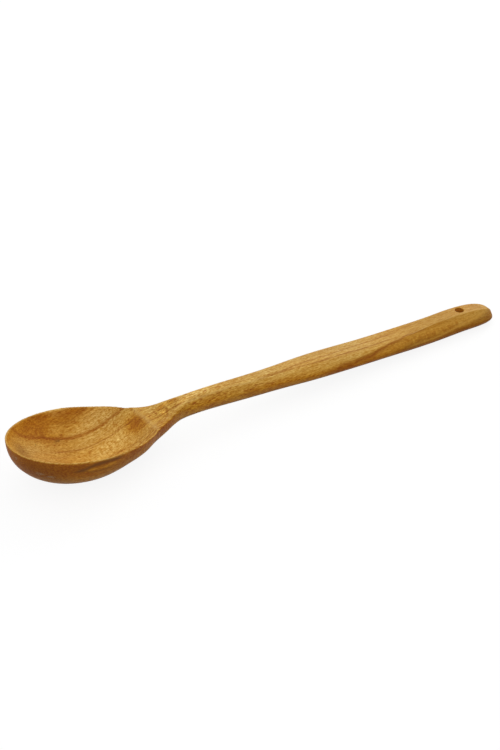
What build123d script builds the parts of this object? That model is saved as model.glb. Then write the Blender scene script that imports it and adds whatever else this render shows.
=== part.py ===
from build123d import *
import os
from math import comb, cos, pi, sqrt

# A hand-carved cooking spoon, cut from one plank of wood, lying as it rests on a table.
# X runs from the bowl's tip to the handle's end, Y across, Z up, all in millimetres.
# Places along the spoon are measured from the bowl's tip and moved to the middle at the end.

# Lengths along the spoon, one after the other from the tip
tip_to_widest = 38.5
widest_to_flank = 24.0
flank_to_shoulder = 17.5
shoulder_to_neck = 20.0
neck_to_shaft = 47.0
shaft_to_swell = 37.0
swell_to_grip = 76.0
grip_to_end = 40.0

# How far before the neck the fan ends, and how far before the grip the arris turns onto the top
throat_to_neck = 8.0
turn_to_grip = 28.0

# Full widths across the spoon
bowl_width = 53.6
flank_width = 42.4
shoulder_width = 22.6
neck_width = 10.4
shaft_width = 13.7
swell_width = 19.1
turn_width = 18.3
grip_width = 17.9

# Heights of the upper side above the table
tip_rim_height = 29.0
widest_rim_height = 22.0
shoulder_height = 16.1
neck_crest_height = 21.2
shaft_crest_height = 18.5
swell_crest_height = 16.1
grip_crest_height = 12.4

# Heights of the underside above the table, which the bowl and the grip touch
flank_under_height = 2.9
shoulder_under_height = 5.3
neck_under_height = 9.4
shaft_under_height = 6.6
swell_under_height = 5.2
turn_under_height = 1.5

# The hollow of the bowl
rim_wall = 1.1
rim_ease = 0.7
rim_edge_depth = 1.6
hollow_depth = 17.0
hollow_end_round = 2.5
hollow_to_shoulder = 3.0
hollow_tip_share = 1.2
hollow_end_share = 2.2

# The rounded end of the handle, and the hole that the spoon hangs by
nose_length = 14.0
nose_fall_length = 32.0
nose_top_height = 4.1
nose_under_height = 0.8
nose_blunt_share = 0.8
hole_diameter = 5.0
hole_to_end = 22.0

# How many sections follow each stretch, and how close to a rounded tip the first one lies
tip_steps = 8
flank_steps = 3
shoulder_steps = 3
neck_steps = 4
handle_steps = 3
nose_steps = 6
first_angle = 4.0
overrun = 3.0

# Places worked out from the lengths
widest_x = tip_to_widest
flank_x = widest_x + widest_to_flank
shoulder_x = flank_x + flank_to_shoulder
neck_x = shoulder_x + shoulder_to_neck
throat_x = neck_x - throat_to_neck
shaft_x = neck_x + neck_to_shaft
swell_x = shaft_x + shaft_to_swell
grip_x = swell_x + swell_to_grip
turn_x = grip_x - turn_to_grip
end_x = grip_x + grip_to_end
hole_x = end_x - hole_to_end

half_width_line = [
    (widest_x, bowl_width / 2),
    (flank_x, flank_width / 2),
    (shoulder_x, shoulder_width / 2),
    (neck_x, neck_width / 2),
    (shaft_x, shaft_width / 2),
    (swell_x, swell_width / 2),
    (turn_x, turn_width / 2),
    (grip_x, grip_width / 2),
]
top_line = [
    (0, tip_rim_height),
    (widest_x, widest_rim_height),
    (shoulder_x, shoulder_height),
    (neck_x, neck_crest_height),
    (shaft_x, shaft_crest_height),
    (swell_x, swell_crest_height),
    (turn_x, grip_crest_height),
    (grip_x, grip_crest_height),
]
under_line = [
    (widest_x, 0),
    (flank_x, flank_under_height),
    (shoulder_x, shoulder_under_height),
    (neck_x, neck_under_height),
    (shaft_x, shaft_under_height),
    (swell_x, swell_under_height),
    (turn_x, turn_under_height),
    (grip_x, 0),
]

# A section has four curves: the top face, a side, the underside and the other side.
# The shares are across the half width and down the thickness, a pair for each point:
# the edge of the top face, the arris between side and underside, and the first two pull
# points of the underside's curve. The last share is its lowest pull point, across only.
# The top is a wide fan at the shoulder, and the sides of the handle cut it narrow from the
# throat on. The arris climbs from low on the shaft to the edge of a narrow flat on the grip.
section_shares = [
    (0, (0.985, 0.01, 1.00, 0.06, 0.97, 0.34, 0.89, 0.87, 0.37)),
    (flank_x, (0.975, 0.01, 1.00, 0.08, 0.97, 0.34, 0.89, 0.87, 0.37)),
    (shoulder_x, (0.965, 0.01, 1.00, 0.10, 0.97, 0.39, 0.88, 0.88, 0.36)),
    (throat_x, (0.74, 0.03, 1.00, 0.16, 0.97, 0.45, 0.88, 0.89, 0.36)),
    (neck_x, (0.61, 0.06, 1.00, 0.43, 0.97, 0.62, 0.88, 0.93, 0.36)),
    (shaft_x, (0.52, 0.06, 1.00, 0.43, 0.97, 0.68, 0.88, 0.94, 0.36)),
    (swell_x, (0.49, 0.05, 1.00, 0.52, 1.01, 0.73, 0.93, 0.95, 0.39)),
    (turn_x, (0.42, 0.02, 0.65, 0.07, 1.34, 0.70, 1.03, 0.65, 0.65)),
    (grip_x, (0.40, 0.00, 0.44, 0.01, 1.59, 0.88, 0.95, 0.43, 0.58)),
]

# Where the pull points of a side lie between the arris and the edge of the top face,
# and how far the top face bulges over its edge
side_pull_share = 0.55
side_drop_share = 0.20
crown_share = 1 / 3

# The hollow's pull points: across its half width, and down its depth
wall_out_share = 0.93
wall_down_share = 0.42
floor_out_share = 0.70


def smooth_through(line, x, level_start=False):
    """The value at a place of a smooth curve through a line's places, with no bumps between them."""
    if x <= line[0][0]:
        return line[0][1]
    if x >= line[-1][0]:
        return line[-1][1]
    runs = [b[0] - a[0] for a, b in zip(line, line[1:])]
    slopes = [(b[1] - a[1]) / run for a, b, run in zip(line, line[1:], runs)]
    leans = [0 if level_start else slopes[0]]
    for before, after in zip(slopes, slopes[1:]):
        turning = before * after <= 0
        leans.append(0 if turning else 2 * before * after / (before + after))
    leans.append(slopes[-1])
    i = max(n for n in range(len(runs)) if line[n][0] <= x)
    t = (x - line[i][0]) / runs[i]
    start = line[i][1] * (1 + 2 * t) * (1 - t) ** 2 + leans[i] * runs[i] * t * (1 - t) ** 2
    finish = line[i + 1][1] * (3 - 2 * t) * t**2 - leans[i + 1] * runs[i] * t**2 * (1 - t)
    return start + finish


def quarter_round(along, length):
    """Share of full size left, this far along a tip that rounds over in the given length."""
    reach = min(max(along / length, 0), 1)
    return sqrt(1 - reach**2)


def section_plane(x):
    return Plane(origin=(x, 0, 0), x_dir=(0, 1, 0), z_dir=(1, 0, 0))


def blank_size(x):
    """Half width, top height and underside height of the outer form at a place."""
    half_width = smooth_through(half_width_line, x, level_start=True)
    top = smooth_through(top_line, x)
    under = smooth_through(under_line, x, level_start=True)
    if x < widest_x:
        fullness = quarter_round(widest_x - x, tip_to_widest)
        half_width = half_width * fullness
        edge = tip_rim_height - rim_edge_depth
        under = edge + (under - edge) * fullness
    plan_left = quarter_round(x - (end_x - nose_length), nose_length)
    fall_left = quarter_round(x - (end_x - nose_fall_length), nose_fall_length)
    half_width = half_width * plan_left**nose_blunt_share
    top = nose_top_height + (top - nose_top_height) * fall_left
    under = nose_under_height + (under - nose_under_height) * plan_left
    return half_width, top, under


def mirrored(points):
    return [(-y, z) for y, z in reversed(points)]


def lowest_pull(reach, above):
    """Where the two lowest pull points of a curve lie, so that its middle reaches just so low."""
    pull_count = 2 * len(above) + 1
    parts = [comb(pull_count, n) for n in range(len(above) + 1)]
    held = sum(part * level for part, level in zip(parts, above))
    return (sum(parts) * reach - held) / parts[-1]


def blank_section(x):
    """The four curves of the outer form at a place, as the pull points of each."""
    half_width, top, under = blank_size(x)
    depth = top - under
    shares = [
        smooth_through([(place, row[n]) for place, row in section_shares], x)
        for n in range(len(section_shares[0][1]))
    ]
    edge_out, edge_down, arris_out, arris_down = shares[:4]
    pull_out, pull_down, next_out, next_down, belly_out = shares[4:]
    step_out = arris_out - edge_out
    step_down = arris_down - edge_down
    belly_down = lowest_pull(1, [arris_down, pull_down, next_down])

    def at(out_share, down_share):
        return (half_width * out_share, top - depth * down_share)

    edge = at(edge_out, edge_down)
    arris = at(arris_out, arris_down)
    face = [edge, at(edge_out / 2, -edge_down * crown_share)]
    side = [
        arris,
        at(arris_out, edge_down + step_down * side_pull_share),
        at(edge_out + step_out * side_pull_share, edge_down + step_down * side_drop_share),
        edge,
    ]
    belly = [at(belly_out, belly_down), at(next_out, next_down), at(pull_out, pull_down), arris]
    return [face + mirrored(face), mirrored(side), mirrored(belly) + belly, side]


def spaced(start, finish, count):
    return [start + (finish - start) * n / count for n in range(count)]


def eased(start, finish, count):
    """Places that crowd together at the start, where the form rounds over."""
    first = first_angle * pi / 180
    return [
        start + (finish - start) * (1 - cos(first + (pi / 2 - first) * n / count))
        for n in range(count)
    ]


blank_places = eased(0, widest_x, tip_steps)
blank_places += spaced(widest_x, flank_x, flank_steps)
blank_places += spaced(flank_x, shoulder_x, shoulder_steps)
blank_places += spaced(shoulder_x, neck_x, neck_steps)
for run_start, run_finish in ((neck_x, shaft_x), (shaft_x, swell_x), (swell_x, grip_x)):
    blank_places += spaced(run_start, run_finish, handle_steps)
blank_places += spaced(grip_x, end_x - nose_length, handle_steps)
blank_places += reversed(eased(end_x, end_x - nose_length, nose_steps))

hollow_start = rim_wall
hollow_finish = shoulder_x - hollow_to_shoulder


def hollow_size(x):
    """Half width, brim height and depth of the hollow at a place."""
    brim_height = blank_size(x)[1]
    full_half = smooth_through(half_width_line, x, level_start=True) - rim_wall
    if x < widest_x:
        left = quarter_round(widest_x - x, widest_x - hollow_start)
        return full_half * left, brim_height, hollow_depth * left**hollow_tip_share
    # Behind the widest place the floor climbs and eases off, and the outline ends square
    plan_left = quarter_round(x - (hollow_finish - hollow_end_round), hollow_end_round)
    floor_left = quarter_round(x - widest_x, hollow_finish - widest_x)
    return full_half * plan_left, brim_height, hollow_depth * floor_left**hollow_end_share


def hollow_section(x):
    half_width, top, depth = hollow_size(x)
    lip = (half_width, top - rim_ease)
    brim = (half_width + rim_ease + overrun, top + overrun)
    wall_height = lip[1] - (depth - rim_ease) * wall_down_share
    floor_height = lowest_pull(top - depth, [lip[1], wall_height])
    dish = [lip, (half_width * wall_out_share, wall_height), (half_width * floor_out_share, floor_height)]
    return brim, dish + mirrored(dish)


hollow_places = eased(hollow_start, widest_x, tip_steps)
hollow_places += spaced(widest_x, hollow_finish - hollow_end_round, 2 * flank_steps)
hollow_places += reversed(eased(hollow_finish, hollow_finish - hollow_end_round, nose_steps))

# The blank: the whole outer form, with an arris that runs from the rim down the handle
with BuildPart() as spoon:
    for place in blank_places:
        with BuildSketch(section_plane(place - end_x / 2)):
            with BuildLine():
                for points in blank_section(place):
                    Bezier(*points)
            make_face()
    loft()

    # The hollow, a dish carved from above and ended square at the neck
    for place in hollow_places:
        brim, dish = hollow_section(place)
        with BuildSketch(section_plane(place - end_x / 2)):
            with BuildLine():
                Polyline(dish[0], brim, (-brim[0], brim[1]), dish[-1])
                Bezier(*dish)
            make_face()
    loft(mode=Mode.SUBTRACT)

    # The hanging hole, drilled square to the table
    with Locations((hole_x - end_x / 2, 0, grip_crest_height)):
        Hole(radius=hole_diameter / 2)

spoon.part.label = "spoon"
os.makedirs("parts", exist_ok=True)
export_step(spoon.part, "parts/spoon.step")
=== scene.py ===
"""Looks of a hand-carved wooden cooking spoon, built on its CAD frame, in metres."""

from math import cos, radians, sin

import bpy
import numpy as np
from mathutils import Matrix, Vector

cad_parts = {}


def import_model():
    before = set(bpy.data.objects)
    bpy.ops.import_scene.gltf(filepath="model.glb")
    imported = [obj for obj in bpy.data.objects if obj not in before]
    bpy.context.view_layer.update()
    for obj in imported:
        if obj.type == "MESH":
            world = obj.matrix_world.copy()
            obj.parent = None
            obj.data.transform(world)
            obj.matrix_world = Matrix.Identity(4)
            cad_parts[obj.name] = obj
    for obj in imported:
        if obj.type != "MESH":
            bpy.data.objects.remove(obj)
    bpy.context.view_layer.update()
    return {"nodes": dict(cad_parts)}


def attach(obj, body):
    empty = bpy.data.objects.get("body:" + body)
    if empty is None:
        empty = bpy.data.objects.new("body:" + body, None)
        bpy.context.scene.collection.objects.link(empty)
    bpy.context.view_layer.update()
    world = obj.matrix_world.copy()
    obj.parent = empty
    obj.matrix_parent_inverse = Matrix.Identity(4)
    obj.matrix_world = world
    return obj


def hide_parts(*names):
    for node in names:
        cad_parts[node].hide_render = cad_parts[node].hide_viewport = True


MM = 0.001

# The photograph's frame in pixels, and where the camera stood
PHOTO_LONG_SIDE = 750
PHOTO_CENTRE = (250, 375)
AIM_PIXEL = (267.22, 380.97)
FOCAL_PIXELS = 1903.1
SENSOR_WIDTH = 36
CAMERA_AZIMUTH = 33.41
CAMERA_ELEVATION = 34.14
CAMERA_DISTANCE = 999.9 * MM
CAMERA_AIM_HEIGHT = 12 * MM

# The light, and the white table under the spoon
WORLD_LIGHT = 0.85
LAMP_PLACE = (1.10, 0.69, 0.72)
LAMP_SIZE = 0.8
LAMP_WATTS = 5.5
FLOOR_HALF_WIDTH = 3.0
FLOOR_GREY = 0.14
FLOOR_GLOW = 0.88

# The carved surface: how finely it is meshed, how much one pass of smoothing does, how many
# passes wear its edges round, and how deep and about what height the knife marks lie
MESH_STEP = 0.42 * MM
SMOOTHING = 0.5
WEAR_PASSES = 2
KNIFE_DEPTH = 0.08 * MM
KNIFE_MIDDLE = 12 * MM

# Where the hollow runs out on the neck, and how far from there it is softened. That is done
# in full where the surface points up by this much or more, and from nothing to in full
# between two distances in from the sides. Less than the least share is left alone
RUN_OUT_PLACE = -74 * MM
RUN_OUT_REACH = 6 * MM
RUN_OUT_PASSES = 60
RUN_OUT_UPWARD = 0.6
RUN_OUT_INSET = (1.4 * MM, 4.9 * MM)
LEAST_SHARE = 0.02

# How much higher the near rim stands than the far one, in mm along the spoon and up, and
# where that starts and is in full: in half widths outward, and in shares of the rim's height,
# which is taken from beyond a share of the half width
NEAR_RIM_ALONG = (-146, -138, -131, -124, -117, -102, -90, -82, -74, -66, -58, -50)
NEAR_RIM_LIFT = (0.0, 0.2, 0.5, 0.8, 1.15, 1.0, 1.35, 1.45, 1.1, 1.3, 0.8, 0.0)
NEAR_RIM_OUTWARD = (0.45, 0.90)
NEAR_RIM_UPWARD = (0.55, 0.95)
NEAR_RIM_FROM = 0.6

# The shaft's side face, from the top's edge down to the arris, in mm along the spoon,
# out from its middle and up, and how much of the face's bulge the knife took off
SIDE_ALONG = (-60, -54, -50, -44, -38, -20, -3, 20, 50)
EDGE_OUT = (5.5, 3.69, 3.17, 3.10, 3.08, 3.26, 3.56, 4.43, 4.43)
EDGE_HEIGHT = (18.7, 20.12, 20.49, 20.41, 20.19, 19.01, 17.79, 16.43, 14.20)
ARRIS_OUT = (7.2, 5.58, 5.20, 5.24, 5.36, 6.03, 6.85, 8.84, 8.86)
ARRIS_HEIGHT = (17.0, 17.15, 16.13, 16.04, 15.81, 14.58, 13.38, 11.51, 10.26)
FLAT_SHARE = (0.0, 0.2, 0.4, 0.4, 0.4, 0.4, 0.35, 0.2, 0.0)


def carved_piece(frame):
    """The spoon as carved: the CAD solid with its small unevenness, worn edges and knife marks."""
    node = frame["nodes"]["spoon"]
    piece = bpy.data.objects.new("carved_spoon", node.data.copy())
    bpy.context.scene.collection.objects.link(piece)
    remesh = piece.modifiers.new("even mesh", "REMESH")
    remesh.mode = "VOXEL"
    remesh.voxel_size = MESH_STEP
    settle(piece)
    run_out(piece)
    lift_near_rim(piece.data)
    flatten_sides(piece.data)
    smooth(piece, "worn edges", WEAR_PASSES)
    knife_marks(piece.data)
    piece.data.polygons.foreach_set("use_smooth", [True] * len(piece.data.polygons))
    piece.data.update()
    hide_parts("spoon")
    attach(piece, "root")
    return piece


def settle(piece):
    """Turn what the modifiers make into the piece's own mesh."""
    graph = bpy.context.evaluated_depsgraph_get()
    mesh = bpy.data.meshes.new_from_object(piece.evaluated_get(graph))
    piece.modifiers.clear()
    piece.data = mesh
    mesh.name = piece.name


def smooth(piece, name, passes, group=""):
    """Smooth the piece's mesh, all over or by the weights of a vertex group."""
    soften = piece.modifiers.new(name, "SMOOTH")
    soften.factor = SMOOTHING
    soften.iterations = passes
    soften.vertex_group = group
    settle(piece)


def places_and_normals(mesh):
    """The mesh's points and the way the surface faces there, as rows of x, y and z."""
    count = len(mesh.vertices)
    place = np.empty(count * 3)
    mesh.vertices.foreach_get("co", place)
    normal = np.empty(count * 3)
    mesh.vertex_normals.foreach_get("vector", normal)
    return place.reshape(count, 3), normal.reshape(count, 3)


def greatest_across(place, value):
    """The greatest value in each 1 mm slice along the spoon, given back for each point."""
    slices = np.floor(place[:, 0] / MM).astype(int)
    slices -= slices.min()
    greatest = np.zeros(slices.max() + 1)
    np.maximum.at(greatest, slices, value)
    return greatest[slices]


def rising(value, start, full):
    """Nothing at the start, 1 in full, and eased at both ends."""
    share = np.clip((value - start) / (full - start), 0, 1)
    return share * share * (3 - 2 * share)


def run_out(piece):
    """Soften the ridge where the hollow's floor meets the neck, between the rims only."""
    place, normal = places_and_normals(piece.data)
    out = np.abs(place[:, 1])
    nearness = np.exp(-(((place[:, 0] - RUN_OUT_PLACE) / RUN_OUT_REACH) ** 2))
    inset = np.interp(greatest_across(place, out) - out, RUN_OUT_INSET, (0, 1))
    share = nearness * np.clip(normal[:, 2] / RUN_OUT_UPWARD, 0, 1) * inset
    group = piece.vertex_groups.new(name="run out")
    for index in np.flatnonzero(share > LEAST_SHARE).tolist():
        group.add([index], float(share[index]), "REPLACE")
    smooth(piece, "run out", RUN_OUT_PASSES, group.name)


def lift_near_rim(mesh):
    """Raise the near rim by the little that hand carving left it higher than the far one."""
    place, _ = places_and_normals(mesh)
    x, y, z = (place / MM).T
    half_width = greatest_across(place, np.abs(y))
    rim_height = greatest_across(place, np.where(y < -NEAR_RIM_FROM * half_width, z, 0))
    share = rising(-y / half_width, *NEAR_RIM_OUTWARD) * rising(z / rim_height, *NEAR_RIM_UPWARD)
    place[:, 2] += np.interp(x, NEAR_RIM_ALONG, NEAR_RIM_LIFT) * share * MM
    mesh.vertices.foreach_set("co", place.ravel())
    mesh.update()


def flatten_sides(mesh):
    """Pare the shaft's side faces toward flat between the top's edge and the arris."""
    place, _ = places_and_normals(mesh)
    x, y, z = (place / MM).T
    edge_out, edge_height, arris_out, arris_height, share = (
        np.interp(x, SIDE_ALONG, values)
        for values in (EDGE_OUT, EDGE_HEIGHT, ARRIS_OUT, ARRIS_HEIGHT, FLAT_SHARE)
    )
    down = np.clip((edge_height - z) / (edge_height - arris_height), 0, 1)
    bulge = np.abs(y) - (edge_out + (arris_out - edge_out) * down)
    inside = (down > 0) & (down < 1) & (x > SIDE_ALONG[0]) & (x < SIDE_ALONG[-1])
    pared = np.where(inside, np.clip(bulge, 0, None) * share, 0)
    place[:, 1] -= np.sign(y) * pared * MM
    mesh.vertices.foreach_set("co", place.ravel())
    mesh.update()


def knife_marks(mesh):
    """Shallow long hollows, as a knife leaves them. They only cut in, and nothing stands out."""
    place, normal = places_and_normals(mesh)
    x, y, z = (place / MM).T
    around = np.arctan2(z - KNIFE_MIDDLE / MM, y)

    # Rows of marks: how much each counts, and its waves, by mm to a radian
    rows = (
        (1.0, np.sin(x / 7.3 + 2.1 * np.sin(around * 2 + x / 41))),
        (0.8, np.sin(x / 11.9 - y / 5.1 + 1.3)),
        (0.6, np.sin(x / 4.7 + y / 3.3 + z / 4.1)),
        (0.7, np.sin(around * 5 + x / 23 + 0.4)),
    )
    waves = sum(weight * row for weight, row in rows) / sum(weight for weight, _ in rows)
    moved = place - normal * (KNIFE_DEPTH * (1 + waves) / 2)[:, None]
    mesh.vertices.foreach_set("co", moved.ravel())


class Nodes:
    """Short names for adding and joining shader nodes."""

    # The sockets of a Mix node that mixes colours: share, two colours and result
    MIX_SHARE, MIX_FIRST, MIX_SECOND, MIX_RESULT = 0, 6, 7, 2

    def __init__(self, tree):
        self.tree = tree
        self.tree.nodes.clear()

    def set(self, socket, value):
        """Join a socket to another node's, or give it a number, a vector or a colour."""
        if isinstance(value, bpy.types.NodeSocket):
            self.tree.links.new(value, socket)
        else:
            socket.default_value = value

    def add(self, kind, inputs=None, **settings):
        """A new node with these settings, and with its inputs given or joined."""
        node = self.tree.nodes.new("ShaderNode" + kind)
        for name, value in settings.items():
            setattr(node, name, value)
        for name, value in (inputs or {}).items():
            self.set(node.inputs[name], value)
        return node

    def math(self, operation, *values):
        return self.add("Math", dict(enumerate(values)), operation=operation).outputs[0]

    def vector(self, operation, *values):
        return self.add("VectorMath", dict(enumerate(values)), operation=operation).outputs[0]

    def noise(self, place, scale, detail, roughness, distortion):
        """Noise from 0 to 1, stretched by a scale for each axis."""
        given = {"Vector": self.vector("MULTIPLY", place, scale), "Scale": 1.0}
        given |= {"Detail": detail, "Roughness": roughness, "Distortion": distortion}
        return self.add("TexNoise", given).outputs["Fac"]

    def ramp(self, value, stops, interpolation="LINEAR"):
        """A grey or a colour that depends on a value from 0 to 1."""
        node = self.add("ValToRGB", {"Fac": value})
        node.color_ramp.interpolation = interpolation
        marks = node.color_ramp.elements
        while len(marks) < len(stops):
            marks.new(0.5)
        for mark, (at, shade) in zip(marks, stops):
            mark.position = at
            mark.color = (*shade, 1) if isinstance(shade, tuple) else (shade, shade, shade, 1)
        return node.outputs["Color"]

    def span(self, value, low, high, to_low=0.0, to_high=1.0):
        """One stretch of values spread over another, and held at its ends."""
        given = {"Value": value, "From Min": low, "From Max": high, "To Min": to_low, "To Max": to_high}
        return self.add("MapRange", given).outputs["Result"]

    def mix(self, share, first, second, blend="MIX"):
        """The first colour turned to the second by a share, or blended with it."""
        node = self.add("Mix", data_type="RGBA", blend_type=blend)
        second = (*second, 1) if isinstance(second, tuple) else second
        self.set(node.inputs[self.MIX_SHARE], share)
        self.set(node.inputs[self.MIX_FIRST], first)
        self.set(node.inputs[self.MIX_SECOND], second)
        return node.outputs[self.MIX_RESULT]

    def product(self, values):
        """The values multiplied together."""
        running = values[0]
        for value in values[1:]:
            running = self.math("MULTIPLY", running, value)
        return running

    def total(self, parts):
        """The sum of (value, weight) pairs."""
        value, weight = parts[0]
        running = self.math("MULTIPLY", value, weight)
        for value, weight in parts[1:]:
            running = self.math("MULTIPLY_ADD", value, weight, running)
        return running

    def spot(self, place, centre, reach):
        """A soft blob: 1 at its centre and 0 a reach away, in mm for each axis."""
        away = self.vector("DIVIDE", self.vector("SUBTRACT", place, centre), reach)
        far = self.add("VectorMath", {0: away}, operation="LENGTH").outputs["Value"]
        given = {"Value": far, "From Min": 1.0, "From Max": 0.0}
        return self.add("MapRange", given, interpolation_type="SMOOTHSTEP").outputs["Result"]

    def thread(self, along, across, course, width, fade):
        """A line through (along, across) points in mm: 1 on it, and 0 a width away or past its ends."""
        first, last = course[0][0], course[-1][0]
        low = min(at for _, at in course) - 1
        high = max(at for _, at in course) + 1
        stops = [((x - first) / (last - first), (at - low) / (high - low)) for x, at in course]
        middle = self.span(self.ramp(self.span(along, first, last), stops, "CARDINAL"), 0, 1, low, high)
        gap = self.math("ABSOLUTE", self.math("SUBTRACT", across, middle))
        start, finish = self.span(along, first - fade, first), self.span(along, last + fade, last)
        return self.product([self.span(gap, width, 0), self.math("MULTIPLY", start, finish)])


# Noises in the wood: cells to a mm along, across and up, then detail, roughness, distortion
NOISES = {
    "wander": ((0.10, 0.22, 0.22), 2.0, 0.5, 0.0),
    "sway": ((0.013, 0.02, 0.03), 2.0, 0.5, 0.0),
    "fibres": ((0.05, 1.0, 1.0), 4.0, 0.65, 0.0),
    "flecks": ((0.5, 2.0, 2.0), 1.5, 0.6, 0.4),
    "mottle": ((0.16, 0.30, 0.30), 3.0, 0.6, 1.0),
    "ripple": ((0.80, 0.20, 0.20), 1.0, 0.5, 0.7),
    "patches": ((0.025, 0.08, 0.08), 3.0, 0.55, 0.6),
}
NOISE_MIDDLE = 0.5

# How far, in mm, spots are shaken and lines wander, so that none is drawn clean
SHAKE = {"Scale": 0.35, "Detail": 3.0, "Roughness": 0.6}
SHAKE_REACH = (7.0, 3.5, 3.5)
WANDER_REACH = 2.0

# Growth rings: how far in mm their sheets sway, how much they lean, how many there are to a
# mm, and how many years they are early or late, by a noise that hardly changes along the
# spoon. Then how dark one year is from its start to its end, and how clearly rings show by
# the same noise: from and to these values of it, this little and this much
RING_SWAY = 7.0
RING_LEAN = 0.12
RINGS_TO_A_MM = 0.42
RING_LATENESS = 5.0
RING_CHANGE_ALONG = 0.014
RING_NOISE = ((1.0, 0.24, 1.0), 2.0, 0.6, 0.0)
RING_DARKNESS = [(0.0, 0.25), (0.08, 0.0), (0.62, 0.0), (0.88, 0.8), (0.96, 1.0), (1.0, 0.25)]
RING_CLEARNESS = (0.35, 0.60, 0.25, 1.0)

# Growth lines that show across the upper side: places in mm along and across the spoon,
# then width and strength
LINE_FADE = 7.0
GROWTH_LINES = [
    ([(-137, 16.8), (-130, 17.5), (-120, 17.7), (-109, 16.3), (-97, 15.8), (-84, 15.6)], 1.1, 0.92),
    ([(-118, 16.8), (-110, 15.9), (-97, 15.2), (-90, 14.9), (-84, 15.2), (-79, 15.4)], 0.8, 0.8),
    ([(-118, 9.2), (-109, 8.6), (-96, 8.0), (-85, 7.8), (-78, 6.6)], 0.8, 0.85),
    ([(-128, 23.4), (-118, 24.7), (-111, 24.7), (-104, 24.0), (-96, 22.6)], 1.0, 0.55),
    ([(-96, -7.0), (-90, -9.4), (-84, -11.0), (-74, -9.8)], 0.7, 0.95),
    ([(-98, -9.6), (-90, -12.0), (-82, -13.2), (-72, -11.6)], 0.7, 0.95),
    ([(-100, -12.6), (-90, -15.0), (-82, -15.4), (-76, -13.4)], 0.7, 0.85),
    ([(-94, -4.6), (-86, -7.2), (-78, -7.8), (-68, -6.0)], 0.7, 0.8),
    ([(-112, -3.4), (-100, -5.0), (-90, -5.4)], 0.5, 0.4),
    ([(-72, 3.2), (-64, 2.4), (-59, 1.0), (-53, -0.6)], 0.6, 0.8),
    ([(-74, -2.2), (-70, -1.8), (-62, -2.1), (-58, -2.5), (-54, -2.8)], 0.6, 1.0),
    ([(-71, -5.8), (-66, -4.1), (-61, -3.5), (-57, -3.2)], 0.5, 0.7),
    ([(-68, 5.4), (-60, 3.6), (-52, 1.8)], 0.5, 0.5),
    ([(-24, -1.5), (-12, -1.4), (2, -1.0), (14, -1.2)], 0.4, 0.35),
    ([(-4, -3.4), (6, -3.7), (21, -4.0), (37, -4.0), (47, -4.1), (57, -3.9), (72, -3.8)], 0.65, 0.95),
    ([(8, -3.0), (14, -2.4), (23, -1.7), (39, -1.4), (60, 0.0), (78, 0.4)], 0.6, 0.95),
    ([(24, 1.4), (48, 1.6), (74, 2.2), (96, 2.0)], 0.5, 0.35),
    ([(34, -9.6), (44, -9.3), (52, -8.9), (61, -8.2), (72, -6.9), (84, -5.4), (94, -4.5)], 0.9, 1.0),
    ([(-14, -5.9), (-8, -5.5), (-3, -6.0)], 0.5, 0.7),
]

# Where an edge of the top is worn pale and has a painted highlight, in the same way
WORN_AND_HIGHLIT_EDGES = [
    ([(-56, -3.7), (-50, -3.4), (-43, -3.1), (-31, -3.1), (-19, -3.2), (-7, -3.3)], 0.7, 0.5),
    ([(92, -4.7), (97, -4.3), (111, -3.8), (125, -4.0), (139, -3.1)], 0.5, 0.5),
]

# Bands on the near flank, in mm along the spoon and up, then width: dark, light, dark
FLANK_FADE = 5.0
FLANK_BANDS = [
    ([(-124, 19.6), (-119, 20.9), (-115, 21.4), (-110, 21.2), (-104, 20.4)], 1.7),
    ([(-120, 19.0), (-116.7, 18.6), (-113.6, 18.4), (-110.4, 18.2), (-106.8, 18.2)], 1.9),
    ([(-123, 19.3), (-120, 17.8), (-116.7, 16.9), (-113.6, 16.7), (-110.3, 16.5)], 1.3),
]

# The painted highlight on the ridge where the hollow ends, in mm across and along, and the
# painted highlight along the edge of the grip's side facet, in mm along and up: course, width and fade
RIDGE_HIGHLIGHT = ([(-9.6, -73.4), (-4, -73.2), (3, -73.3), (10.5, -74.0)], 1.7, 4.0)
FACET_EDGE_HIGHLIGHT = ([(92, 6.8), (98, 6.6), (106, 6.4), (116, 7.2), (124, 7.9), (137, 8.4)], 0.9, 8.0)

# Regions of the surface, by where each measure starts and where it is in full. The measures
# are places in mm, how far the surface points up, and how far away from the bowl's middle
# The grip's side facet gets painted shade, and its top painted light
FACET = [("upward", 0.93, 0.80), ("along", 55, 85)]
FACET_TOP = FACET + [("up", 6.8, 9.5)]
FLANK = [("upward", 0.6, 0.3), ("along", -57, -66), ("outward", 2, 6)]
FLANK_BY_RIM = FLANK + [("up", 10, 20)]
NEAR_FLANK = [("across", -19, -23), ("outward", 2, 6)]
# The underside gets painted bounce light: lighter and paler
UNDERSIDE = [("upward", 0.15, -0.35), ("along", -70, -55)]
RIDGE_TOP = [("upward", 0.6, 0.8)]
TOP_EDGES = [("up", 6, 9)]

# Where the facet is oiled, along the spoon or low down, and the bowl's middle and the spoon's
# ends, all in mm
FACET_OILED_ALONG = (126, 106)
FACET_OILED_LOW = (8.8, 6.2)
BOWL_MIDDLE = (-106, 0, 0)
SPOON_ENDS = (-150, 150)
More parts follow.
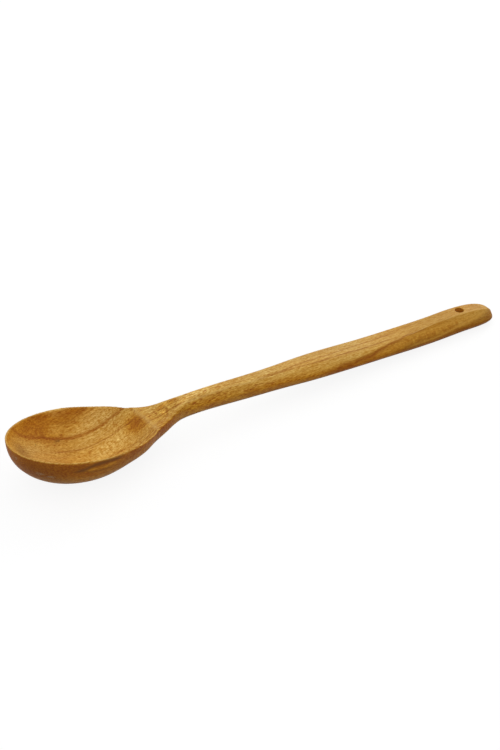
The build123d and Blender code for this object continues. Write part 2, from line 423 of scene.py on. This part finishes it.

# Where the wood holds more oil (or less, below nothing): centre and reach in mm, and how much;
# some spots are painted shade, as marked
OIL_SPOTS = [
    # Painted shade: the far inner wall darker and redder
    ((-122, 20.5, 15), (30, 10, 13), 0.48),
    ((-111, 26, 21), (13, 4, 4.5), -0.45),
    ((-116, 21, 13.5), (9, 4, 4.5), -0.34),
    ((-132, 20, 21.5), (8, 5, 5), 0.20),
    ((-139.5, 7, 19), (8, 8, 8), 0.32),
    ((-121, 5, 8), (26, 18, 11), 0.34),
    ((-102, 18, 10), (18, 8, 7), -0.16),
    # Painted shade: the hollow's steep end wall darker and redder
    ((-77.6, 3.2, 13), (11, 9.5, 8), 0.80),
    ((-68, -2, 16), (10, 9, 5), 0.14),
    ((-88, 20, 15), (17, 9, 9), -0.44),
    ((-115, -14, 8), (28, 11, 10), 0.12),
    ((-139, -7, 20), (13, 13, 10), 0.30),
    ((-63, 3.6, 17.4), (6, 2.6, 4), 0.35),
    ((-57, 2.3, 19.7), (5, 2.6, 3), 0.45),
    ((-67, -10.5, 15), (11, 5, 5), 0.40),
    ((-44, 0, 21.5), (20, 6, 3.0), -0.50),
    ((-62, -1, 18), (18, 8, 5), 0.19),
    ((-92, 4, 6), (16, 12, 8), -0.08),
    ((88, 0, 12.6), (20, 8, 3), 0.06),
    ((116, -7.5, 7.6), (10, 4, 2.5), 0.26),
    ((0, -8, 12), (60, 5, 5), 0.12),
    ((108, 0, 12.4), (56, 9, 3), 0.26),
    ((142, 0, 11), (12, 9, 4), 0.26),
]

# Where the wood is lighter or darker, in the same way; some spots are painted light or shade, as marked
SHADE_SPOTS = [
    # Partly lighter wood, partly painted light against the hollow's shade
    ((-96, 2, 6), (30, 28, 14), 0.26),
    ((-111, 26, 21), (13, 4, 4.5), 0.16),
    ((-116, 21, 13.5), (9, 4, 4.5), 0.16),
    ((-132, 20, 21.5), (8, 5, 5), -0.10),
    ((-139.5, 7, 19), (8, 8, 8), -0.36),
    ((-88, 20, 15), (17, 9, 9), 0.12),
    ((-145, -14, 20), (22, 16, 16), -0.20),
    # Painted shade on the hollow's steep end wall
    ((-77.6, 3.2, 13), (10, 8.5, 7), -0.22),
    ((-103, 18, 10), (18, 8, 7), 0.14),
    ((-44, 0, 21), (22, 7, 5), 0.17),
    ((-42, -6, 15), (26, 5, 6), 0.10),
    ((0, -5, 14), (50, 8, 8), 0.12),
    ((120, 0, 12.4), (40, 9, 3), -0.09),
    ((142, 0, 11), (10, 9, 4), -0.18),
    # Painted light inside the hanging hole, against its shade
    ((128, 0, 5), (6, 6, 7.5), 0.90),
    ((-62, -1, 18), (18, 8, 5), -0.15),
    ((-67.8, -1.5, 16.5), (3.5, 2.5, 3), -0.14),
    ((-57, 2.3, 19.7), (5, 2.6, 3), -0.12),
    ((-63.5, -1.2, 17.3), (2.8, 2.8, 3), 0.28),
    ((116, -7.5, 7.6), (10, 4, 2.5), -0.05),
    ((92, -8.5, 7.5), (14, 5, 5), -0.12),
    ((100, 0, 12.4), (34, 9, 4), -0.09),
    ((-124, -24, 11), (24, 8, 11), 0.26),
    # Painted shade on the far inner wall
    ((-122, 20.5, 15), (28, 9, 11), -0.12),
    ((142, -7, 7), (14, 8, 9), -0.10),
    ((-116.2, 15.8, 9.9), (3.0, 1.6, 2.2), -0.42),
    ((-130.1, 13.5, 14.1), (1.0, 1.0, 1.0), -0.45),
    ((-60.3, 3.3, 18.4), (3.0, 1.6, 2.0), 0.22),
    ((-69.3, -1.7, 16.1), (3.0, 2.0, 2.0), 0.18),
    ((-74.1, -5.4, 15.5), (3.0, 2.4, 2.0), 0.16),
    ((-52, -1.5, 20.8), (7, 2.5, 2.0), 0.20),
]

# Where the ripple across the grain shows, in the same way
RIPPLE_SPOTS = [
    ((-93, 2, 6), (26, 8, 10), 0.8),
    ((-62, 0, 18), (18, 9, 6), 0.8),
    ((106, -8, 8.2), (44, 4, 4), 1.7),
    ((-116, 18, 14), (34, 14, 14), 0.35),
]

# Pale scuffs on the flank and the tip, in the same way
SCUFFS = [
    ((-141.4, -14.6, 18.6), (3.4, 3, 1.6), 1.0),
    ((-137.0, -17.2, 16.8), (3.2, 3, 1.3), 1.0),
    ((-149.3, -4.2, 25.6), (1.6, 2.6, 1.8), 1.0),
]

# How much oil the wood holds, everywhere and by region, and how much painted shade the sides
# and the underside get by how far the surface points up, darker and redder
OIL_EVERYWHERE = 0.12
PAINTED_SHADE_BY_SLOPE = [(0.0, 0.54), (0.25, 0.46), (0.55, 0.27), (0.82, 0.05), (1.0, 0.0)]
OIL_WEIGHTS = {
    "patches": 0.5, "oiled facet": 0.20, "flank": 0.06, "flank by rim": 0.34, "light band": -0.30,
}

# How much lighter or darker each region is: the facet darker as painted shade and its top lighter
# as painted light, and the underside lighter as painted bounce light
SHADE_WEIGHTS = {
    "facet": -0.28, "facet top": 0.25, "flank": 0.10, "flank by rim": -0.14,
    "underside": 0.22, "light band": 0.34, "low band": -0.30,
}

# How much each noise counts in the figure, where the ripple turns from dark to light and how
# dark it gets, and how bold the figure is from the bowl's tip to the handle's end
FIGURE_WEIGHTS = {"fibres": 0.9, "flecks": 1.8, "mottle": 0.32, "ripple": 1.9}
RIPPLE_MIDDLE = 0.47
RIPPLE_LEAST = -0.04
BOLDNESS = [(0.0, 1.0), (0.16, 1.2), (0.34, 1.7), (0.45, 1.3), (0.66, 0.9), (0.85, 0.7)]

# Colours, from the least oil and painted shade to the most
OIL_AND_SHADE_COLOURS = [
    (0.0, (0.590, 0.348, 0.078)), (0.30, (0.570, 0.292, 0.042)),
    (0.60, (0.530, 0.222, 0.014)), (1.0, (0.430, 0.128, 0.003)),
]

# How strongly the figure changes the red, the green and the blue, and the least it leaves
FIGURE_DEPTH = (0.60, 1.05, 2.3)
FIGURE_DARKEST = (0.3, 0.3, 0.3)

# What the rings and growth lines multiply the colour by, and what the other marks turn it to,
# and how strongly. The facet's edge line, the ridge and the worn edges get a painted highlight,
# and the pale tint on the underside is painted bounce light; on the flank it is a pale tint.
# Scuffs show more where the flecks are light, between two values of them
RING_TINT, RING_STRENGTH = (0.70, 0.54, 0.34), 0.50
GROWTH_TINT = (0.66, 0.46, 0.22)
STREAK_COLOUR, STREAK_STRENGTH = (0.190, 0.068, 0.010), 0.95
FACET_HIGHLIGHT_COLOUR, FACET_HIGHLIGHT_STRENGTH = (0.640, 0.330, 0.048), 0.55
WORN_AND_HIGHLIGHT_COLOUR, RIDGE_HIGHLIGHT_STRENGTH = (0.680, 0.430, 0.130), 0.50
BARE_AND_BOUNCE_COLOUR, BOUNCE_LIGHT_ON_UNDERSIDE, BARE_FLANK = (0.42, 0.24, 0.14), 0.22, 0.07
SCUFF_COLOUR, SCUFF_FLECKS = (0.520, 0.390, 0.230), (0.42, 0.60, 0.0, 0.75)

# The sum of fibres and flecks in dark grain and in light, and the roughness that goes with
# each, then how far each noise stands out in the grain's relief, and how deep that is
ROUGHNESS = (0.7, 1.3, 0.62, 0.46)
GRAIN_RELIEF = {"fibres": 0.6, "flecks": 0.2}
BUMP_STRENGTH = 0.25
BUMP_DEPTH = 0.12 * MM
SPECULAR_LEVEL = 0.12


class Wood(Nodes):
    """The spoon's wood, worked out from places in mm and from which way the surface faces."""

    def __init__(self, tree):
        super().__init__(tree)
        coords = self.add("TexCoord")
        normal = coords.outputs["Normal"]
        scaled = self.add("VectorMath", {0: coords.outputs["Object"], "Scale": 1 / MM}, operation="SCALE")
        self.place = scaled.outputs[0]
        flat = self.add("SeparateXYZ", {0: self.place})
        self.along, self.across, self.up = flat.outputs["X"], flat.outputs["Y"], flat.outputs["Z"]
        self.upward = self.add("SeparateXYZ", {0: normal}).outputs["Z"]

        # Above nothing where the surface faces away from the bowl's middle
        from_middle = self.vector("MULTIPLY", self.vector("SUBTRACT", self.place, BOWL_MIDDLE), (1, 1, 0))
        facing = self.add("VectorMath", {0: from_middle, 1: normal}, operation="DOT_PRODUCT")
        self.outward = facing.outputs["Value"]

        # The same places shaken, for the spots, and let wander, for the lines
        shake = self.add("TexNoise", {"Vector": self.place, **SHAKE}).outputs["Color"]
        swing = self.vector("SUBTRACT", shake, (NOISE_MIDDLE,) * 3)
        self.loose = self.vector("ADD", self.place, self.vector("MULTIPLY", swing, SHAKE_REACH))
        self.drift = self.math("MULTIPLY_ADD", self.swing(self.grain("wander")), WANDER_REACH, self.across)

    def grain(self, name):
        """One of the wood's noises."""
        return self.noise(self.place, *NOISES[name])

    def swing(self, noise):
        """How far a noise is above or below its middle."""
        return self.math("SUBTRACT", noise, NOISE_MIDDLE)

    def region(self, limits):
        """1 where every measure is in full, and 0 where any hasn't started."""
        return self.product([self.span(getattr(self, what), start, full) for what, start, full in limits])

    def spots(self, table):
        """The sum of a table's soft blobs."""
        return self.total([
            (self.spot(self.loose, centre, reach), weight) for centre, reach, weight in table
        ])

    def lines(self, table):
        """The sum of a table's lines on the upper side."""
        return self.total([
            (self.thread(self.along, self.drift, course, width, LINE_FADE), strength)
            for course, width, strength in table
        ])

    def weighed(self, values, weights):
        """The sum of the named values, each as much as it counts."""
        return self.total([(values[name], weight) for name, weight in weights.items()])

    def rings(self):
        """Dark lines where the sheets of growth rings, near upright and wavy, meet the surface."""
        leaning = self.math("MULTIPLY_ADD", self.up, RING_LEAN, self.drift)
        sheet = self.math("MULTIPLY_ADD", self.swing(self.grain("sway")), RING_SWAY, leaning)
        slowly = self.math("MULTIPLY", self.along, RING_CHANGE_ALONG)
        layered = self.add("CombineXYZ", {"X": slowly, "Y": sheet}).outputs[0]
        uneven = self.noise(layered, *RING_NOISE)
        late = self.math("MULTIPLY", uneven, RING_LATENESS)
        year = self.math("FRACT", self.math("MULTIPLY_ADD", sheet, RINGS_TO_A_MM, late))
        darkness = self.ramp(year, RING_DARKNESS)
        return self.math("MULTIPLY", darkness, self.span(uneven, *RING_CLEARNESS))

    def figure(self, grain):
        """The grain's light and dark, about nothing, with the ripple where it shows."""
        ripple = self.math("SUBTRACT", self.grain("ripple"), RIPPLE_MIDDLE)
        ripple = self.math("MAXIMUM", ripple, RIPPLE_LEAST)
        parts = {name: self.swing(noise) for name, noise in grain.items()}
        parts["ripple"] = self.math("MULTIPLY", ripple, self.spots(RIPPLE_SPOTS))
        boldness = self.ramp(self.span(self.along, *SPOON_ENDS), BOLDNESS)
        return self.math("MULTIPLY", self.weighed(parts, FIGURE_WEIGHTS), boldness)

    def regions(self):
        """How much of each region every point is in."""
        near = self.region(NEAR_FLANK)
        dark, light, low = (
            self.math("MULTIPLY", self.thread(self.along, self.up, course, width, FLANK_FADE), near)
            for course, width in FLANK_BANDS
        )
        facet = self.region(FACET)
        oiled = self.math(
            "MAXIMUM", self.span(self.along, *FACET_OILED_ALONG), self.span(self.up, *FACET_OILED_LOW)
        )
        return {
            # The facet carries painted shade, the facet top painted light, the underside painted bounce
            # light
            "facet": facet,
            "facet top": self.region(FACET_TOP),
            "oiled facet": self.math("MULTIPLY", facet, oiled),
            "flank": self.region(FLANK),
            "flank by rim": self.region(FLANK_BY_RIM),
            "underside": self.region(UNDERSIDE),
            "dark band": dark,
            "light band": light,
            "low band": low,
        }

    def oiled(self, regions):
        """The wood's colour, darker and redder as the sum grows: how oiled the wood is by region and
        spot, and painted shade on the sides and the underside by how far they face down."""
        # Painted shade: the sides and the underside darker and redder by how far they face down
        shade_by_slope = self.ramp(self.upward, PAINTED_SHADE_BY_SLOPE)
        held = self.weighed({"patches": self.swing(self.grain("patches")), **regions}, OIL_WEIGHTS)
        oil_and_shade = self.total([(shade_by_slope, 1.0), (held, 1.0), (self.spots(OIL_SPOTS), 1.0)])
        return self.ramp(self.math("ADD", oil_and_shade, OIL_EVERYWHERE), OIL_AND_SHADE_COLOURS)

    def shaded(self, tone, regions):
        """The colour made lighter or darker by region and spot; part of it is painted shade and light."""
        shade = self.math("ADD", self.spots(SHADE_SPOTS), self.weighed(regions, SHADE_WEIGHTS))
        gain = self.math("ADD", shade, 1.0)
        grey = self.add("CombineColor", {0: gain, 1: gain, 2: gain}).outputs[0]
        return self.mix(1.0, tone, grey, "MULTIPLY")

    def figured(self, tone, figure):
        """The colour with the figure's light and dark, the dark of it redder."""
        contrast = self.vector("MULTIPLY_ADD", figure, FIGURE_DEPTH, (1.0, 1.0, 1.0))
        return self.mix(1.0, tone, self.vector("MAXIMUM", contrast, FIGURE_DARKEST), "MULTIPLY")

    def marked(self, tone, regions, flecks):
        """The colour with rings, lines, bands and scuffs, painted highlights on the worn edges, the
        ridge and the facet's edge, a pale flank tint, and painted bounce light on the underside.
        """
        tone = self.mix(self.math("MULTIPLY", self.rings(), RING_STRENGTH), tone, RING_TINT, "MULTIPLY")
        growth = self.math("MINIMUM", self.lines(GROWTH_LINES), 1.0)
        tone = self.mix(growth, tone, GROWTH_TINT, "MULTIPLY")
        tone = self.mix(self.math("MULTIPLY", regions["dark band"], STREAK_STRENGTH), tone, STREAK_COLOUR)

        # Painted highlight along the edge of the side facet
        facet_highlight = self.math("MULTIPLY", self.thread(self.along, self.up, *FACET_EDGE_HIGHLIGHT), regions["facet"])
        tone = self.mix(self.math("MULTIPLY", facet_highlight, FACET_HIGHLIGHT_STRENGTH), tone, FACET_HIGHLIGHT_COLOUR)
        # Painted highlight on the ridge where the hollow ends
        ridge = self.math("MULTIPLY", self.thread(self.across, self.along, *RIDGE_HIGHLIGHT), self.region(RIDGE_TOP))
        # Worn edges of the top with a painted highlight along them
        worn_and_highlit = self.math("MULTIPLY", self.lines(WORN_AND_HIGHLIT_EDGES), self.region(TOP_EDGES))
        worn_and_highlit = self.math("MAXIMUM", worn_and_highlit, self.math("MULTIPLY", ridge, RIDGE_HIGHLIGHT_STRENGTH))
        tone = self.mix(worn_and_highlit, tone, WORN_AND_HIGHLIGHT_COLOUR)

        # Painted bounce light: a pale tint on the underside, and a pale tint on the flank
        below = self.math("MULTIPLY", regions["underside"], BOUNCE_LIGHT_ON_UNDERSIDE)
        bare_and_bounce = self.math("MAXIMUM", below, self.math("MULTIPLY", regions["flank"], BARE_FLANK))
        tone = self.mix(bare_and_bounce, tone, BARE_AND_BOUNCE_COLOUR)
        scuffed = self.math("MULTIPLY", self.spots(SCUFFS), self.span(flecks, *SCUFF_FLECKS))
        return self.mix(scuffed, tone, SCUFF_COLOUR)

    def finish(self):
        """Join colour, roughness and relief to the shader."""
        grain = {name: self.grain(name) for name in ("fibres", "flecks", "mottle")}
        regions = self.regions()
        tone = self.shaded(self.oiled(regions), regions)
        tone = self.marked(self.figured(tone, self.figure(grain)), regions, grain["flecks"])
        rough = self.span(self.math("ADD", grain["fibres"], grain["flecks"]), *ROUGHNESS)
        height = self.weighed(grain, GRAIN_RELIEF)
        bump = self.add("Bump", {"Strength": BUMP_STRENGTH, "Distance": BUMP_DEPTH, "Height": height})
        shader = self.add("BsdfPrincipled", {
            "Base Color": tone, "Roughness": rough, "Normal": bump.outputs[0],
            "Specular IOR Level": SPECULAR_LEVEL,
        })
        self.add("OutputMaterial", {"Surface": shader.outputs[0]})


def wood_material():
    material = bpy.data.materials.new("oiled_wood")
    material.use_nodes = True
    Wood(material.node_tree).finish()
    return material


def camera():
    """The camera at the photograph's angle. Its shift puts the aim where the photograph has it."""
    az, el = radians(CAMERA_AZIMUTH), radians(CAMERA_ELEVATION)
    right = Vector((cos(az), -sin(az), 0))
    ahead = Vector((sin(az) * cos(el), cos(az) * cos(el), -sin(el)))
    up = right.cross(ahead)
    data = bpy.data.cameras.new("camera")
    data.sensor_width = SENSOR_WIDTH
    data.lens = FOCAL_PIXELS * SENSOR_WIDTH / PHOTO_LONG_SIDE
    data.shift_x = (PHOTO_CENTRE[0] - AIM_PIXEL[0]) / PHOTO_LONG_SIDE
    data.shift_y = (AIM_PIXEL[1] - PHOTO_CENTRE[1]) / PHOTO_LONG_SIDE
    obj = bpy.data.objects.new("camera", data)
    place = Vector((0, 0, CAMERA_AIM_HEIGHT)) - ahead * CAMERA_DISTANCE
    turn = Matrix((right, up, -ahead)).transposed().to_4x4()
    obj.matrix_world = Matrix.Translation(place) @ turn
    bpy.context.scene.collection.objects.link(obj)
    bpy.context.scene.camera = obj


def seen_rays(n):
    """1 for rays from the camera, a gloss or glass, which see the background as white."""
    rays = n.add("LightPath")
    seen = n.math("MAXIMUM", rays.outputs["Is Camera Ray"], rays.outputs["Is Glossy Ray"])
    return n.math("MAXIMUM", seen, rays.outputs["Is Transmission Ray"])


def floor():
    """A white table. It shows as white, and it keeps a soft shadow of the spoon."""
    half = FLOOR_HALF_WIDTH
    data = bpy.data.meshes.new("floor")
    corners = [(-half, -half, 0), (half, -half, 0), (half, half, 0), (-half, half, 0)]
    data.from_pydata(corners, [], [(0, 1, 2, 3)])
    obj = bpy.data.objects.new("floor", data)
    bpy.context.scene.collection.objects.link(obj)
    material = bpy.data.materials.new("floor")
    material.use_nodes = True
    n = Nodes(material.node_tree)
    shade = n.add("BsdfDiffuse", {"Color": (FLOOR_GREY, FLOOR_GREY, FLOOR_GREY, 1)})
    shown = n.math("MULTIPLY", seen_rays(n), FLOOR_GLOW)
    glow = n.add("Emission", {"Color": (1, 1, 1, 1), "Strength": shown})
    both = n.add("AddShader", {0: shade.outputs[0], 1: glow.outputs[0]})
    n.add("OutputMaterial", {"Surface": both.outputs[0]})
    data.materials.append(material)


def world():
    """Even light from all round, and white where the camera or a gloss looks past the floor."""
    surroundings = bpy.data.worlds.new("world")
    bpy.context.scene.world = surroundings
    surroundings.use_nodes = True
    n = Nodes(surroundings.node_tree)
    strength = n.span(seen_rays(n), 0, 1, WORLD_LIGHT, 1.0)
    back = n.add("Background", {"Color": (1, 1, 1, 1), "Strength": strength})
    n.add("OutputWorld", {"Surface": back.outputs[0]})


def lamp():
    """A soft lamp to the right and behind, pointed at the spoon."""
    data = bpy.data.lights.new("side", "AREA")
    data.shape = "SQUARE"
    data.size = LAMP_SIZE
    data.energy = LAMP_WATTS
    obj = bpy.data.objects.new("side", data)
    obj.location = LAMP_PLACE
    obj.rotation_euler = (-Vector(LAMP_PLACE)).to_track_quat("-Z", "Y").to_euler()
    bpy.context.scene.collection.objects.link(obj)


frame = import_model()
bpy.context.scene.view_settings.view_transform = "Standard"
spoon = carved_piece(frame)
spoon.data.materials.clear()
spoon.data.materials.append(wood_material())
camera()
floor()
world()
lamp()
